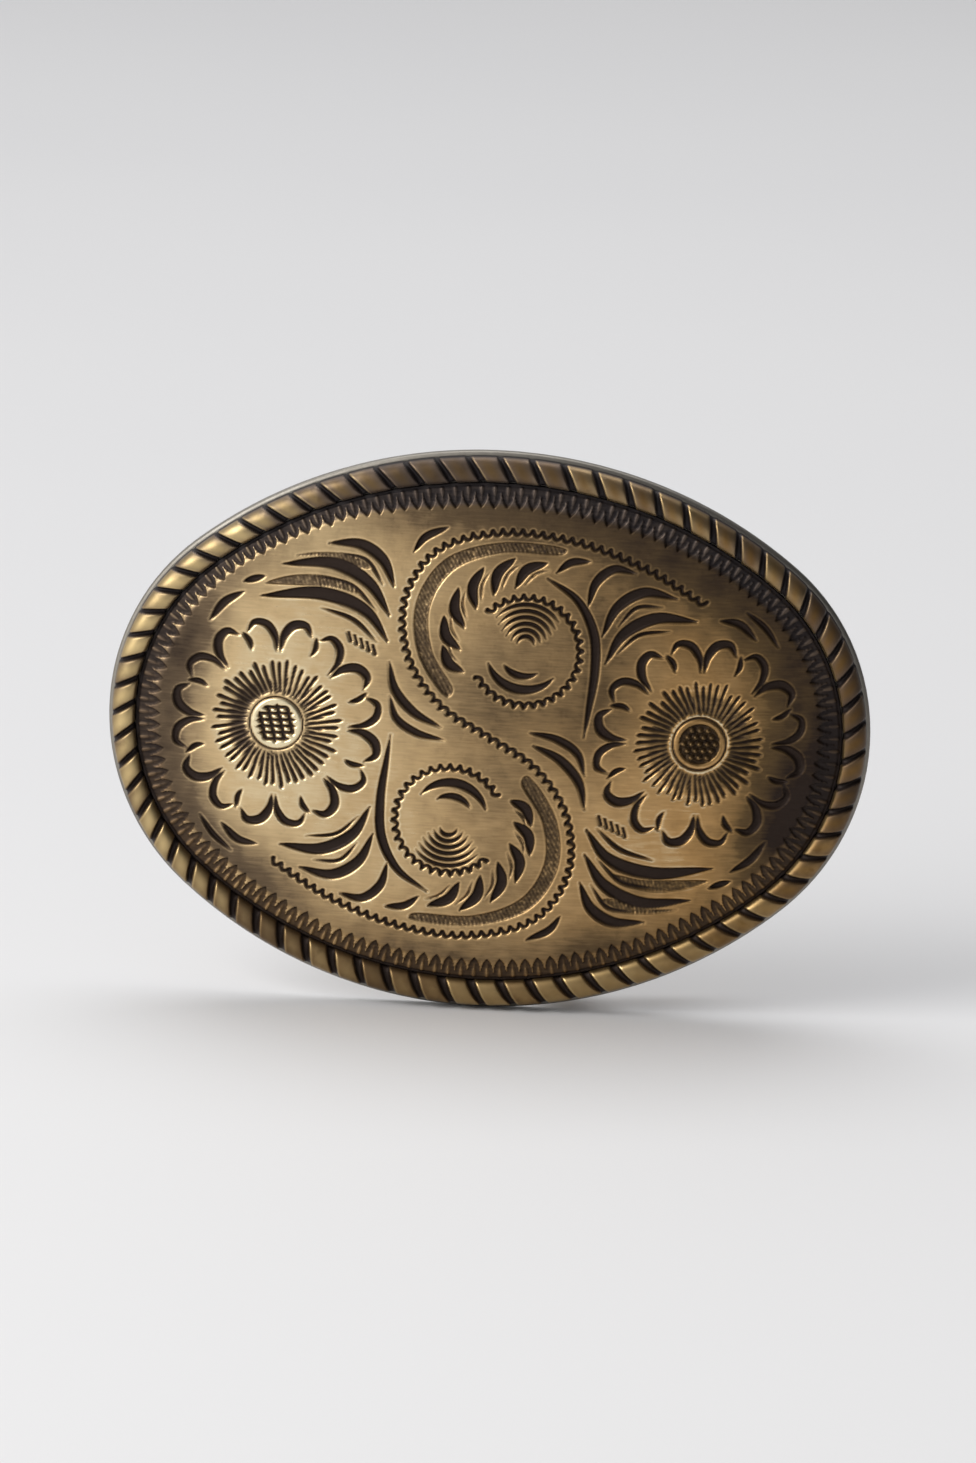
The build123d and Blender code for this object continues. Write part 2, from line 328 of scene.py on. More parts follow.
# stems and leaves
LEAVES = [
    ([(11.2, 0.4), (11.6, 3.6), (12.1, 8.2), (11.8, 12.6), (9.8, 16.4), (6.2, 18.9)], 1.0, "m"),
    ([(13.3, 9.2), (15.2, 12.6), (18.8, 14.6), (23.6, 14.4)], 1.35, "m"),
    ([(12.8, 12.4), (14.4, 15.8), (17.4, 17.6), (21.2, 17.0)], 1.2, "m"),
    ([(11.0, 15.8), (11.8, 18.6), (13.8, 20.2), (16.4, 19.8)], 1.0, "m"),
    ([(14.6, 10.4), (17.0, 12.6), (20.6, 13.2)], 0.36, "m"),
    ([(14.6, 13.6), (16.6, 15.8), (19.6, 16.0)], 0.36, "m"),
    ([(7.2, 19.6), (8.8, 20.8), (11.0, 21.0)], 0.8, "m"),
    ([(26.4, 14.6), (28.6, 14.2), (30.6, 12.4)], 0.8, "m"),
    ([(29.4, 15.6), (31.6, 13.8), (33.2, 11.6)], 0.55, "m"),
    ([(-12.0, 10.6), (-14.6, 13.9), (-19.6, 15.6), (-26.8, 14.9)], 1.5, "m"),
    ([(-11.9, 13.6), (-14.4, 17.2), (-18.6, 19.2), (-24.4, 18.8)], 1.4, "m"),
    ([(-11.5, 17.0), (-12.9, 20.0), (-15.4, 21.6), (-19.2, 21.6)], 1.2, "m"),
    ([(-9.4, 21.2), (-8.2, 22.9), (-5.6, 24.2)], 0.8, "m"),
    ([(-13.2, 10.4), (-16.0, 12.8), (-19.8, 14.0)], 0.4, "m"),
    ([(-13.4, 14.0), (-16.4, 16.8), (-21.0, 17.6)], 0.36, "m"),
    ([(-12.8, 17.2), (-14.8, 19.8), (-18.0, 20.5)], 0.36, "m"),
    ([(-29.0, 15.2), (-31.2, 13.8), (-32.8, 11.6)], 0.85, "m"),
    ([(-26.6, 17.2), (-29.0, 16.4)], 0.7, "m"),
    ([(-11.7, 8.2), (-10.9, 5.0), (-8.6, 2.4), (-5.4, 0.8)], 0.95, "m"),
    ([(-11.5, 4.2), (-10.6, 1.6), (-8.2, 0.0), (-5.0, -0.7)], 0.8, "m"),
]
for points, w, shape in LEAVES:
    twice(cut, points, w, shape)
twice(ground, [(-15.2, 15.9), (-18.6, 17.6), (-23.4, 17.5), (-26.4, 16.4), (-22.6, 16.4), (-18.6, 16.4)], 20, 0.42)
twice(ground, [(-14.2, 19.0), (-16.6, 20.3), (-20.4, 20.4), (-23.0, 19.9), (-19.0, 19.9), (-16.0, 18.9)], 20, 0.42)
for i in range(5):
    twice(cut, [(-16.6 + 0.72 * i, 11.4 - 0.34 * i), (-16.2 + 0.72 * i, 10.2 - 0.34 * i)], 0.3, "c")


# ------------------------------------------------------------------------------------------------
# From cuts to heights and patina; the patina also carries painted shade and painted highlights
# ------------------------------------------------------------------------------------------------
def blur(a, sigma_mm):
    s = sigma_mm / PX
    n = int(3 * s) + 1
    k = np.exp(-0.5 * (np.arange(-n, n + 1) / s) ** 2)
    k /= k.sum()
    pad = np.pad(a, ((0, 0), (n, n)), mode="edge")
    a = sum(w * pad[:, i : i + a.shape[1]] for i, w in enumerate(k))
    pad = np.pad(a, ((n, n), (0, 0)), mode="edge")
    return sum(w * pad[i : i + a.shape[0], :] for i, w in enumerate(k)).astype(np.float32)


def step(v, lo, hi):
    t = np.clip((v - lo) / (hi - lo), 0, 1)
    return t * t * (3 - 2 * t)


noise_a = blur(RNG.normal(size=(NZ, NX)).astype(np.float32), 0.5)
noise_a /= noise_a.std()
noise_b = blur(RNG.normal(size=(NZ, NX)).astype(np.float32), 0.09)
noise_b /= noise_b.std()
in_cut = step(CUT, -0.09, 0.16)
in_ground = step(SUNK, -0.05, 0.13) * (1 - CLEAR)
depth = 0.42 * in_cut * (1 - CLEAR) + 0.26 * in_ground * (1 - 0.45 * in_cut)
near = blur(np.maximum(in_cut, 0.6 * in_ground), 0.45)
wide = blur(np.maximum(in_cut, in_ground), 1.5)
burr = np.maximum(np.exp(-(((CUT + 0.20) / 0.09) ** 2)), 0.85 * np.exp(-(((SUNK + 0.16) / 0.10) ** 2))) * (1 - in_cut) * (1 - in_ground)
HEIGHT = -depth + RISE - 0.13 * near + 0.05 * (1 - wide) + 0.028 * burr
HEIGHT += in_ground * (0.045 * (HATCH - 0.5) * 2 + 0.03 * noise_b) * (1 - in_cut)
HEIGHT += 0.004 * noise_b * (1 - in_ground)
HEIGHT = blur(HEIGHT, 0.045)
GX, GZ = np.meshgrid(XS, ZS)
# tarnish: how dark and how wide it lies along the field's edge, by clock angle, then broad clouds of it; the clouds
# also hold painted shade darkening the right end and the top, and a painted highlight over the left flower
CLOCK = np.arange(0, 361, 20)
EDGE_DARK = (0.56, 0.50, 0.38, 0.44, 0.36, 0.28, 0.05, 0.10, 0.46, 0.56, 0.46, 0.18, 0.16, 0.28, 0.20, 0.20, 0.14, 0.58, 0.56)
EDGE_WIDE = (6.2, 5.4, 4.6, 4.6, 4.2, 3.2, 2.2, 2.2, 3.4, 4.2, 3.4, 2.4, 2.4, 2.4, 2.4, 2.4, 3.0, 5.2, 6.2)
clock = np.degrees(np.arctan2(GZ * HALF_W / HALF_H, GX)) % 360
deep = (inset_of(GX, GZ) - FIELD).clip(0, None)
edge_dark = np.interp(clock, CLOCK, EDGE_DARK) * np.exp(-((deep / np.interp(clock, CLOCK, EDGE_WIDE)) ** 2)) * (1 + 0.04 * noise_a.clip(-1.5, 1.5))


def spot(cx, cz, rx, rz):
    return np.exp(-(((GX - cx) / rx) ** 2) - ((GZ - cz) / rz) ** 2)


# broad tarnish clouds, partly painted light: the rise towards the right end and towards the top is painted shade, and
# the large spot taken off round the left flower (-24, -4) is a painted highlight
tone = (0.22 * step(GX + 0.22 * GZ, 16.0, 42.0) + 0.22 * step(GZ + 0.10 * GX, 13.0, 27.0) * step(GX, -20.0, 4.0)
        + 0.38 * spot(13.0, 4.0, 5.5, 8.0) + 0.24 * spot(0.0, 5.0, 8.0, 6.0) + 0.26 * spot(12.0, 14.0, 6.0, 5.0)
        + 0.20 * spot(1.0, -6.0, 7.0, 4.0) + 0.18 * spot(1.0, -17.0, 6.0, 5.0) + 0.14 * spot(12.0, -24.0, 5.0, 4.0)
        + 0.10 * spot(34.0, -8.0, 7.0, 6.0) + 0.12 * spot(-25.0, -18.0, 7.0, 4.0) + 0.08 * spot(-12.0, 4.0, 4.0, 5.0)
        - 0.14 * spot(-24.0, -4.0, 11.0, 9.0) - 0.06 * spot(-24.0, 10.0, 8.0, 6.0)
        - 0.06 * spot(22.0, -15.0, 8.0, 4.0) - 0.05 * spot(26.5, -6.5, 6.0, 4.0)
        + 0.13 * spot(3.5, 2.0, 6.5, 18.0) + 0.10 * spot(20.0, 12.0, 7.0, 6.0) + 0.09 * spot(-36.0, 8.0, 4.0, 8.0)
        + 0.04 + 0.12 * spot(-35.0, 10.0, 4.0, 7.0) + 0.12 * spot(4.0, 13.5, 5.0, 5.0) + 0.09 * spot(-35.0, -14.0, 4.0, 5.0)
        + 0.12 * spot(35.0, -14.0, 5.0, 4.0) + 0.05 * spot(6.0, -16.0, 9.0, 7.0) + 0.05 * spot(-4.0, 4.0, 6.0, 6.0)
        + 0.17 * spot(-30.0, -18.0, 8.0, 6.0) + 0.14 * spot(35.0, -7.0, 5.0, 6.0) - 0.05 * spot(-20.0, 4.0, 8.0, 5.0))
# the flats' darkness: tarnish with the painted shade and painted highlight from the clouds above
flats = tone + edge_dark + 0.24 * step(wide, 0.25, 0.75) * (0.92 + 0.08 * noise_a.clip(-1, 1)) + SHADE
lined = step(CUT, -0.05, 0.09) * (1 - 0.75 * CLEAR)
PATINA_AND_PAINTED_LIGHT = in_ground * (0.46 + 0.12 * (0.5 - HATCH) * 2 + 0.09 * noise_b) + flats * (1 - 0.66 * in_ground) * (1 - 0.8 * CLEAR)
PATINA_AND_PAINTED_LIGHT += 0.30 * CLEAR - 0.20 * burr + 0.025 * noise_a.clip(-1.5, 1.5)
PATINA_AND_PAINTED_LIGHT = np.clip(PATINA_AND_PAINTED_LIGHT * (1 - lined) + lined, -0.35, 1).astype(np.float32)
del noise_a, noise_b, GX, GZ, clock, deep, edge_dark


def sample(a, x, z):
    u = np.clip((x - X0) / PX, 0, NX - 1.001)
    v = np.clip((z - Z0) / PX, 0, NZ - 1.001)
    i, j = u.astype(int), v.astype(int)
    fu, fv = u - i, v - j
    return a[j, i] * (1 - fu) * (1 - fv) + a[j, i + 1] * fu * (1 - fv) + a[j + 1, i] * (1 - fu) * fv + a[j + 1, i + 1] * fu * fv


def mesh_object(name, verts_mm, quads, tris=(), attributes=None, smooth=True):
    mesh = bpy.data.meshes.new(name)
    verts = (np.asarray(verts_mm, np.float64) / 1000.0).astype(np.float32)
    quads = np.asarray(quads, np.int32).reshape(-1, 4)
    tris = np.asarray(tris, np.int32).reshape(-1, 3)
    loops = np.concatenate([quads.ravel(), tris.ravel()])
    mesh.vertices.add(len(verts))
    mesh.vertices.foreach_set("co", verts.ravel())
    mesh.loops.add(len(loops))
    mesh.loops.foreach_set("vertex_index", loops)
    mesh.polygons.add(len(quads) + len(tris))
    starts = np.concatenate([np.arange(len(quads)) * 4, len(quads) * 4 + np.arange(len(tris)) * 3])
    mesh.polygons.foreach_set("loop_start", starts.astype(np.int32))
    mesh.update(calc_edges=True)
    mesh.validate()
    mesh.polygons.foreach_set("use_smooth", np.full(len(mesh.polygons), smooth))
    for key, values in (attributes or {}).items():
        at = mesh.attributes.new(key, "FLOAT", "POINT")
        at.data.foreach_set("value", np.asarray(values, np.float32))
    mesh.update()
    ob = bpy.data.objects.new(name, mesh)
    scene.collection.objects.link(ob)
    return ob


# ------------------------------------------------------------------------------------------------
# The engraved front plate
# ------------------------------------------------------------------------------------------------
TOP = BASE_T + FACE_T
SIDE_N = 440                # cells along each side of the field's square grid
ROUND = 4 * SIDE_N
s_round = (np.arange(ROUND) / ROUND + 0.125) % 1.0  # starts at the grid's first corner
bx, bz, bnx, bnz, FIELD_LEN = oval(s_round, FIELD)

# Square grid whose rings are scaled copies of the field's outline
g = np.arange(SIDE_N + 1)
gu, gv = np.meshgrid(g, g)
cu, cv = gu - SIDE_N / 2, gv - SIDE_N / 2
ring = np.maximum(np.abs(cu), np.abs(cv))
with np.errstate(divide="ignore", invalid="ignore"):
    un, vn = np.where(ring > 0, cu / ring, 0), np.where(ring > 0, cv / ring, 0)
# share round the square from its (+, +) corner, anticlockwise
share = np.where(
    (vn >= 1 - 1e-12), (1 - un) / 8,
    np.where(un <= -1 + 1e-12, 0.25 + (1 - vn) / 8,
             np.where(vn <= -1 + 1e-12, 0.5 + (un + 1) / 8, 0.75 + (vn + 1) / 8)))
share = np.where(ring > 0, share, 0)
pos = share * ROUND
k0 = np.floor(pos + 1e-9).astype(int) % ROUND
k1, fr = (k0 + 1) % ROUND, (pos - np.floor(pos + 1e-9)).clip(0, 1)
rho = ring / (SIDE_N / 2)
fx = rho * (bx[k0] * (1 - fr) + bx[k1] * fr)
fz = rho * (bz[k0] * (1 - fr) + bz[k1] * fr)


def edge_grime(x, z):
    """Patina left near the border, uneven round the plate."""
    ins = inset_of(x, z)
    wave = 0.5 + 0.28 * np.sin(x * 0.31 + z * 0.17 + 1.0) + 0.22 * np.sin(z * 0.63 - x * 0.11)
    return (0.16 * wave + 0.04) * (1 - step(ins, FIELD - 1.2, FIELD + 1.6))


fh = sample(HEIGHT, fx, fz)
fp = sample(PATINA_AND_PAINTED_LIGHT, fx, fz)
fp = np.clip(fp + edge_grime(fx, fz) * (1 - fp), -0.35, 1)
fy = dome(fx, fz, TOP + fh)
n_field = (SIDE_N + 1) ** 2
field_verts = np.stack([fx.ravel(), fy.ravel(), fz.ravel()], 1)
idx = np.arange(n_field).reshape(SIDE_N + 1, SIDE_N + 1)
quads = [np.stack([idx[:-1, :-1], idx[:-1, 1:], idx[1:, 1:], idx[1:, :-1]], -1).reshape(-1, 4)]

# The field's outline, in order, as vertex numbers
N = SIDE_N
border = np.concatenate([
    [N * (N + 1) + i for i in range(N, 0, -1)],
    [j * (N + 1) for j in range(N, 0, -1)],
    [i for i in range(0, N)],
    [j * (N + 1) + N for j in range(0, N)],
])

# The border ring: a row of pointed arches with a bead in each, up to the rope
TEETH = 145
ins_rows = np.concatenate([np.linspace(FIELD, 3.55, 34)[1:], [3.45, 3.35, FACE_EDGE]])
verts, pat, inner = [field_verts], [fp.ravel()], [np.ones(n_field)]
prev = border
count = n_field
teeth = s_round * TEETH + 0.52 * np.sin(4 * math.pi * s_round)      # finer at the sides than at the top and bottom
cell_s = teeth % 1.0
mid = np.abs(cell_s - 0.5) * 2                             # 0 at an arch's middle, 1 between arches
pitch = FIELD_LEN / TEETH
tooth_no = np.floor(teeth).astype(int) % TEETH
vary = np.random.default_rng(5).uniform(-1, 1, TEETH + 1)[tooth_no]
round_clock = np.degrees(np.arctan2(bz * HALF_W / HALF_H, bx)) % 360
RIB_DARK = (0.78, 0.70, 0.64, 0.60, 0.58, 0.54, 0.30, 0.00, 0.16, 0.46, 0.36, 0.08, 0.04, 0.14, 0.30, 0.26, 0.12, 0.64, 0.78)
rib_dark = np.interp(round_clock, CLOCK, RIB_DARK) + 0.08 * vary
# the rope is a little wider in places, and the border narrower there
ROPE_WIDE = (0.10, 0.10, 0.03, 0.06, 0.22, 0.30, 0.15, 0.08, 0.05, 0.05, 0.08, 0.15, 0.30, 0.40, 0.40, 0.30, 0.15, 0.10, 0.10)
squeeze = 1 - np.interp(round_clock, CLOCK, ROPE_WIDE) / (FIELD - FACE_EDGE)
# the arches are shorter at the upper left, and a little shorter along the bottom
SHORT = (0.15, 0.40, 0.70, 0.45, 0.10, 0.15, 0.85, 1.15, 0.50, 0.18, 0.15, 0.10, 0.28, 0.18, 0.18, 0.42, 0.28, 0.10, 0.10)
short = np.interp(round_clock, CLOCK, SHORT)
for ins in ins_rows:
    x, z = bx + bnx * (FIELD - ins) * squeeze, bz + bnz * (FIELD - ins) * squeeze
    level = ins + short * min(max((ins - 3.5) / 1.7, 0.0), 1.0)
    tip = 6.42 + 0.12 * vary - 1.05 * mid - 1.15 * mid**6  # pointed arches, with thin ribs between them
    notch = step(tip - level, -0.05, 0.20)                  # 1 inside the dark arches
    along = (ins - 3.45) / 1.35                            # bead: 0 at the rope, 1 at its inner end
    half = 0.36 * math.sqrt(1 - (2 * along - 1) ** 2) * (1 - 0.25 * along) if 0 < along < 1 else 0.0
    bead = 1 - step(mid, 0.85 * half - 0.14, 0.85 * half + 0.14) if half > 0 else np.zeros_like(mid)
    rib = np.exp(-((mid / 0.17) ** 2)) * step(level, 4.7, 5.1) * (1 - step(level, 5.3, 5.8))
    lift = np.maximum(0.75 * bead, 0.40 * rib)
    under = sample(HEIGHT, x, z)
    rail = 1 - step(level, 5.6, 6.3)                       # the ribs' own tone takes over from the field's
    h = (under * (1 - rail) - 0.04 * rail) * (1 - notch) + notch * (-0.34 + 0.24 * lift)
    h = h - 0.12 * step(3.75 - level, 0.0, 0.3)
    on_rib = sample(PATINA_AND_PAINTED_LIGHT, x, z) * (1 - rail) + (rib_dark + 0.06) * rail
    p = notch * (0.97 - 0.24 * (1 - rib_dark) - (0.54 - 0.36 * rib_dark) * lift) + (1 - notch) * on_rib
    p = np.clip(p + 0.5 * step(3.70 - level, 0.0, 0.25), -0.35, 1)
    p = np.clip(p + edge_grime(x, z) * (1 - p) * (1 - rail), -0.35, 1)
    verts.append(np.stack([x, dome(x, z, TOP + h), z], 1))
    pat.append(p)
    inner.append(1 - rail)
    now = count + np.arange(ROUND)
    quads.append(np.stack([now, np.roll(now, -1), np.roll(prev, -1), prev], 1))
    prev, count = now, count + ROUND
# side wall and the flat under-face that is soldered to the base plate
for ins, t in ((FACE_EDGE, TOP - 0.85), (FACE_EDGE, BASE_T + 0.02), (7.0, BASE_T + 0.02), (12.0, BASE_T + 0.02), (18.0, BASE_T + 0.02), (22.5, BASE_T + 0.02)):
    x, z = bx + bnx * (FIELD - ins) * squeeze, bz + bnz * (FIELD - ins) * squeeze
    verts.append(np.stack([x, dome(x, z, np.full_like(x, t)), z], 1))
    pat.append(np.full(ROUND, 1.0))
    inner.append(np.zeros(ROUND))
    now = count + np.arange(ROUND)
    quads.append(np.stack([now, np.roll(now, -1), np.roll(prev, -1), prev], 1))
    prev, count = now, count + ROUND
verts.append(np.array([[0.0, float(dome(np.array(0.0), np.array(0.0), BASE_T + 0.02)), 0.0]]))
pat.append([1.0])
inner.append([0.0])
hub = np.full(ROUND, count)
tris = np.stack([hub, np.roll(prev, -1), prev], 1)
plate = mesh_object("engraved_front", np.vstack(verts), np.vstack(quads), tris, {"patina_and_painted_light": np.concatenate(pat), "inner": np.concatenate(inner)})

# ------------------------------------------------------------------------------------------------
# The rope edge
# ------------------------------------------------------------------------------------------------
ROPE_MID = (ROPE_OUT + ROPE_IN) / 2
HALF_ROPE = (ROPE_IN - ROPE_OUT) / 2
PER = 26
n_s, n_c = STRANDS * PER, 30
s = np.arange(n_s) / n_s
mx, mz, nx_, nz_, rope_len = oval(s, ROPE_MID)
turns = 2 * math.pi * s
wound = STRANDS * s + 0.18 + 0.13 * np.cos(turns) - 0.37 * np.sin(turns) + 0.07 * np.cos(2 * turns) + 0.34 * np.sin(2 * turns)
pitch = rope_len / np.gradient(wound, s)                   # the strands are finer on the left
verts, pat, warm, quads = [], [], [], []
angles = np.linspace(-4, 184, n_c)
lean = 1.75                                                # mm along the rim from the inner to the outer side
rn = np.random.default_rng(11)
strand_tone = rn.uniform(-1, 1, STRANDS + 1)
strand_size = rn.uniform(-1, 1, STRANDS + 1)
rope_clock = np.degrees(np.arctan2(mz * HALF_W / HALF_H, mx)) % 360
ROPE_DARK = (0.54, 0.48, 0.24, 0.20, 0.36, 0.50, 0.36, 0.12, 0.08, 0.10, 0.12, 0.28, 0.42, 0.34, 0.19, 0.18, 0.29, 0.42, 0.54)
ROPE_GAP = (0.07, 0.07, 0.10, 0.13, 0.12, 0.08, 0.05, 0.03, 0.03, 0.04, 0.08, 0.14, 0.18, 0.18, 0.16, 0.12, 0.08, 0.06, 0.07)
rope_dark = np.interp(rope_clock, CLOCK, ROPE_DARK)
wide_cut = np.interp(rope_clock, CLOCK, ROPE_GAP)
inward = 1 + np.interp(rope_clock, CLOCK, ROPE_WIDE) / HALF_ROPE
ROPE_WORN = (0.2, -0.2, -0.5, -0.7, -0.7, -0.4, 0.3, 1.0, 1.0, 1.0, 1.0, 0.7, 0.3, 0.1, 0.1, 0.1, 0.0, 0.1, 0.2)
worn_mid = np.interp(rope_clock, CLOCK, ROPE_WORN)
for c, a in enumerate(angles):
    ca, sa = math.cos(math.radians(a)), math.sin(math.radians(a))
    across = ca * HALF_ROPE                                # + is the outer side
    wider = wide_cut - 0.07 * ca                           # the cuts open out towards the inner side
    ph = wound - (across / HALF_ROPE) * lean / pitch / 2
    cell = np.floor(ph).astype(int) % STRANDS
    q = ph % 1.0
    gap = np.minimum(q, 1 - q) * pitch                     # distance from the groove, mm
    groove = 1 - step(gap, 0.08 + wider, 0.44 + wider)
    crown = 1 - (2 * q - 1) ** 2
    body = 1 - 0.32 * groove - 0.05 * (1 - crown) + 0.02 * strand_size[cell]
    rx = HALF_ROPE * (1 - 0.07 * groove)
    flat = max(sa, 0.0) ** 0.46 if sa > 0 else -0.02
    t = BASE_T + 0.02 + flat * (ROPE_T + 0.02) * body
    rx = rx * inward if ca < 0 else rx
    x, z = mx + nx_ * ca * rx, mz + nz_ * ca * rx
    verts.append(np.stack([x, dome(x, z, t), z], 1))
    low = (0.60 if ca > 0 else 0.65) * (1 - step(np.full(n_s, sa), 0.02, 0.30 if ca > 0 else 0.20))
    worn = np.exp(-(((q - 0.52) / 0.26) ** 2)) * max(sa, 0.0) ** 1.5
    tint = 0.12 + rope_dark + 0.10 * strand_tone[cell] - 0.12 * worn_mid * (2 * worn - 1)
    facing = np.where(nz_ > 0, q > 0.5, q < 0.5)           # each strand's left side, where the key light glints: a painted highlight
    tint -= 0.34 * np.abs(nz_) * facing * np.exp(-(((gap - 0.47 - wider) / 0.10) ** 2)) * max(sa, 0.0) ** 0.5
    # painted highlight: on the right of the oval the rope's inner slope, which faces the key light, is painted cream
    tint -= 0.55 * nx_.clip(0, 1) * (math.exp(-(((sa - 0.42) / 0.20) ** 2)) if ca < 0 else 0.0)
    warm.append(worn)
    pat.append(np.clip(1.0 * (1 - step(gap, 0.17 + wider, 0.36 + wider)) + low + tint, -0.35, 1))
idx = np.arange(n_s * n_c).reshape(n_c, n_s)
for c in range(n_c):
    nxt = (c + 1) % n_c
    quads.append(np.stack([idx[c], np.roll(idx[c], -1), np.roll(idx[nxt], -1), idx[nxt]], 1))
rope = mesh_object("twisted_rope_edge", np.vstack(verts), np.vstack(quads), (), {"patina_and_painted_light": np.concatenate(pat), "inner": np.concatenate(warm)})


# ------------------------------------------------------------------------------------------------
# Materials
# ------------------------------------------------------------------------------------------------
class Nodes:
    """Short names for building node trees."""

    def __init__(self, name):
        self.mat = bpy.data.materials.new(name)
        self.mat.use_nodes = True
        self.nt = self.mat.node_tree
        self.nt.nodes.clear()
        self.out = self.nt.nodes.new("ShaderNodeOutputMaterial")
        self.bsdf = self.nt.nodes.new("ShaderNodeBsdfPrincipled")
        self.nt.links.new(self.bsdf.outputs[0], self.out.inputs["Surface"])

    def node(self, kind, **values):
        n = self.nt.nodes.new(kind)
        for k, v in values.items():
            setattr(n, k, v)
        return n

    def put(self, value, socket):
        if isinstance(value, bpy.types.NodeSocket):
            self.nt.links.new(value, socket)
        else:
            socket.default_value = value

    def math(self, op, a, b=0.0, clamp=False):
        n = self.node("ShaderNodeMath", operation=op, use_clamp=clamp)
        self.put(a, n.inputs[0])
        self.put(b, n.inputs[1])
        return n.outputs[0]

    def remap(self, v, a, b, c=0.0, d=1.0):
        n = self.node("ShaderNodeMapRange", clamp=True)
        for k, x in zip(range(5), (v, a, b, c, d)):
            self.put(x, n.inputs[k])
        return n.outputs[0]

    def mix(self, f, a, b):
        n = self.node("ShaderNodeMix", data_type="RGBA")
        self.put(f, n.inputs[0])
        self.put(a, n.inputs[6])
        self.put(b, n.inputs[7])
        return n.outputs[2]

    def noise(self, scale, detail=3.0, rough=0.55, stretch=(1, 1, 1), turn=(0, 0, 0)):
        tc = self.node("ShaderNodeTexCoord")
        mp = self.node("ShaderNodeMapping")
        mp.inputs["Scale"].default_value = stretch
        mp.inputs["Rotation"].default_value = turn
        self.nt.links.new(tc.outputs["Object"], mp.inputs["Vector"])
        n = self.node("ShaderNodeTexNoise")
        n.inputs["Scale"].default_value = scale
        n.inputs["Detail"].default_value = detail
        n.inputs["Roughness"].default_value = rough
        self.nt.links.new(mp.outputs[0], n.inputs["Vector"])
        return n.outputs["Fac"]

    def attribute(self, name):
        n = self.node("ShaderNodeAttribute", attribute_name=name)
        return n.outputs["Fac"]

    def bump(self, height, strength, distance, normal=None):
        n = self.node("ShaderNodeBump")
        n.inputs["Strength"].default_value = strength
        n.inputs["Distance"].default_value = distance
        self.put(height, n.inputs["Height"])
        if normal is not None:
            self.put(normal, n.inputs["Normal"])
        return n.outputs[0]


def rgb(r, g_, b):
    """An sRGB colour, 0 to 255, as linear light."""
    return tuple(((c / 255) / 12.92 if c / 255 <= 0.04045 else ((c / 255 + 0.055) / 1.055) ** 2.4) for c in (r, g_, b)) + (1.0,)


def antique(name, patina_and_painted_light=None, bright=rgb(212, 186, 142), warm=rgb(172, 126, 66), cream=rgb(238, 222, 184), grime=0.0, rough=(0.33, 0.58), brush=(1, 1, 9), mids=(rgb(116, 98, 76), rgb(110, 88, 57))):
    """Worn antique brass: bright where it is rubbed and where highlights are painted, black where the patina stays;
    its colour also shifts by position, painted light paler on the left and warmer on the right.
    """
    m = Nodes(name)
    p = m.attribute("patina_and_painted_light") if patina_and_painted_light is None else patina_and_painted_light
    cloud = m.noise(140, 4, 0.6)
    fine = m.noise(900, 3, 0.6)
    p = m.math("ADD", p, m.remap(cloud, 0.45, 0.8, 0.0, 0.08 + grime))
    p = m.math("ADD", p, m.remap(fine, 0.55, 0.8, 0.0, 0.08))
    streak = m.noise(420, 2, 0.5, stretch=brush)
    p = m.math("ADD", p, m.remap(streak, 0.3, 0.7, -0.04, 0.05))
    inner = m.attribute("inner")
    tc = m.node("ShaderNodeTexCoord")
    sep = m.node("ShaderNodeSeparateXYZ")
    m.nt.links.new(tc.outputs["Object"], sep.inputs[0])
    # painted light: the rubbed brass is paler on the left, where the key light falls, and warmer towards the right; it
    # also turns warmer towards the bottom
    side = m.remap(sep.outputs["X"], -0.022, 0.022, 0.08, 0.70)
    side = m.math("MAXIMUM", side, m.remap(sep.outputs["Z"], -0.010, -0.026, 0.0, 0.42))
    base = m.mix(m.math("ADD", side, m.remap(cloud, 0.35, 0.7, -0.04, 0.08), clamp=True), bright, warm)
    base = m.mix(m.remap(p, -0.34, 0.04), cream, base)
    # the mid tones likewise: paler on the lit left and browner on the shaded right, painted light; on the border's rim
    # and the rope's edges the mid and dark tones turn greyer towards the top
    right = m.remap(sep.outputs["X"], -0.03, 0.03)
    top = m.remap(sep.outputs["Z"], -0.02, 0.02)
    mid = m.mix(inner, m.mix(top, rgb(118, 93, 62), rgb(110, 96, 86)), m.mix(right, *mids))
    dark = m.mix(inner, m.mix(top, rgb(40, 28, 21), rgb(33, 27, 28)), rgb(41, 27, 18))
    col = m.mix(m.remap(p, 0.05, 0.50), base, mid)
    col = m.mix(m.remap(p, 0.42, 0.92), col, dark)
    m.put(col, m.bsdf.inputs["Base Color"])
    m.put(m.remap(p, 0.3, 1.0, 1.0, 0.55), m.bsdf.inputs["Metallic"])
    r = m.remap(p, 0.0, 0.9, rough[0], rough[1])
    r = m.math("ADD", r, m.remap(streak, 0.3, 0.7, -0.06, 0.08))
    m.put(r, m.bsdf.inputs["Roughness"])
    h = m.math("ADD", m.math("MULTIPLY", streak, 0.5), m.math("MULTIPLY", fine, 0.5))
    m.put(m.bump(h, 0.22, 0.00004), m.bsdf.inputs["Normal"])
    return m


engraved = antique("engraved_brass")
rope_metal = antique("rope_brass", bright=rgb(208, 184, 134), warm=rgb(162, 134, 90), rough=(0.36, 0.58), brush=(1, 1, 1), mids=(rgb(124, 104, 74), rgb(130, 99, 56)))


